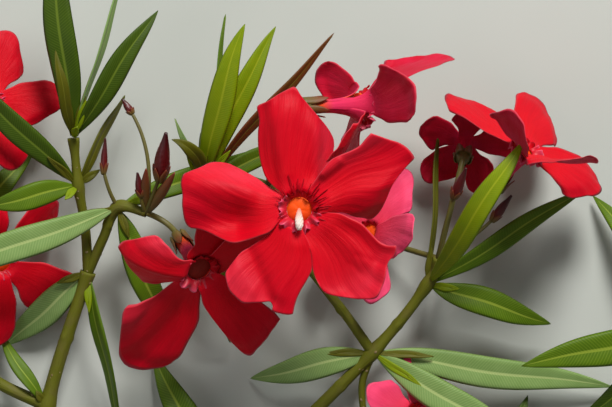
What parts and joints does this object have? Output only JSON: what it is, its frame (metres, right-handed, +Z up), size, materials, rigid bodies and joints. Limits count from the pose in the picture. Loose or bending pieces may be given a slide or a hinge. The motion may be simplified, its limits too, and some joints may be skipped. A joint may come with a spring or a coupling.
{
  "type": "cut flowering oleander branch",
  "caption": "Cut flowering branch of oleander lying on its side, with whorls of lance-shaped leaves, open funnel-shaped blooms and pointed buds",
  "frame": {"origin": "middle of the branch's outline on the surface that it lies on", "axes": "+Y from the cut end towards the flowering end, +X across the branch to the right seen from above, +Z up from the surface, the way that the main bloom faces"},
  "size_m": [0.2336, 0.2706, 0.0546],
  "materials": {
    "bark": "olive to brown young bark with pores and leaf scars, satin",
    "leaf": "leathery leaf with a pale midrib and fine side veins, satin above and matt below",
    "petal": "crimson petal with fine lengthwise veins, soft velvety sheen",
    "calyx": "olive to brown-red sepals and stalk, satin",
    "anther": "cream, softly hairy",
    "bud": "dark maroon, twisted, satin"
  },
  "bodies": {
    "root": {"main_stem": "bark", "left_shoot_lower": "bark", "left_shoot_middle": "bark", "left_shoot_upper": "bark", "left_tip_shoot_lower": "bark", "left_tip_shoot_upper": "bark", "bud_shoot": "bark", "left_side_shoot": "bark", "right_shoot_lower": "bark", "right_shoot_middle": "bark", "right_shoot_upper": "bark", "right_shoot_top": "bark", "centre_shoot": "bark", "flower_stalk": "bark", "lower_stalk": "bark", "outer_shoot_lower": "bark", "outer_shoot_middle": "bark", "outer_shoot_upper": "bark", "main_bloom_corolla": "petal", "main_bloom_calyx": "calyx", "lower_left_bloom_corolla": "petal", "lower_left_bloom_calyx": "calyx", "upper_right_bloom_corolla": "petal", "upper_right_bloom_calyx": "calyx", "right_bloom_corolla": "petal", "right_bloom_calyx": "calyx", "nodding_bloom_corolla": "petal", "nodding_bloom_calyx": "calyx", "inner_bloom_corolla": "petal", "inner_bloom_calyx": "calyx", "left_bloom_corolla": "petal", "left_bloom_calyx": "calyx", "lower_bloom_corolla": "petal", "lower_bloom_calyx": "calyx", "bottom_bloom_corolla": "petal", "bottom_bloom_calyx": "calyx", "main_bloom_anthers": "anther", "large_bud": "bud", "small_bud": "bud", "high_bud": "bud", "thin_bud": "bud", "right_bud": "bud", "middle_bud": "bud", "left_base_leaves": "leaf", "left_low_leaves": "leaf", "left_fork_leaves": "leaf", "left_bend_leaves": "leaf", "left_tip_leaves": "leaf", "bud_leaves": "leaf", "side_leaves": "leaf", "right_base_leaves": "leaf", "right_low_leaves": "leaf", "right_fork_leaves": "leaf", "right_node_leaves": "leaf", "centre_leaves": "leaf", "outer_low_leaves": "leaf", "outer_bend_leaves": "leaf", "outer_tip_leaves": "leaf"}
  },
  "joints": []
}
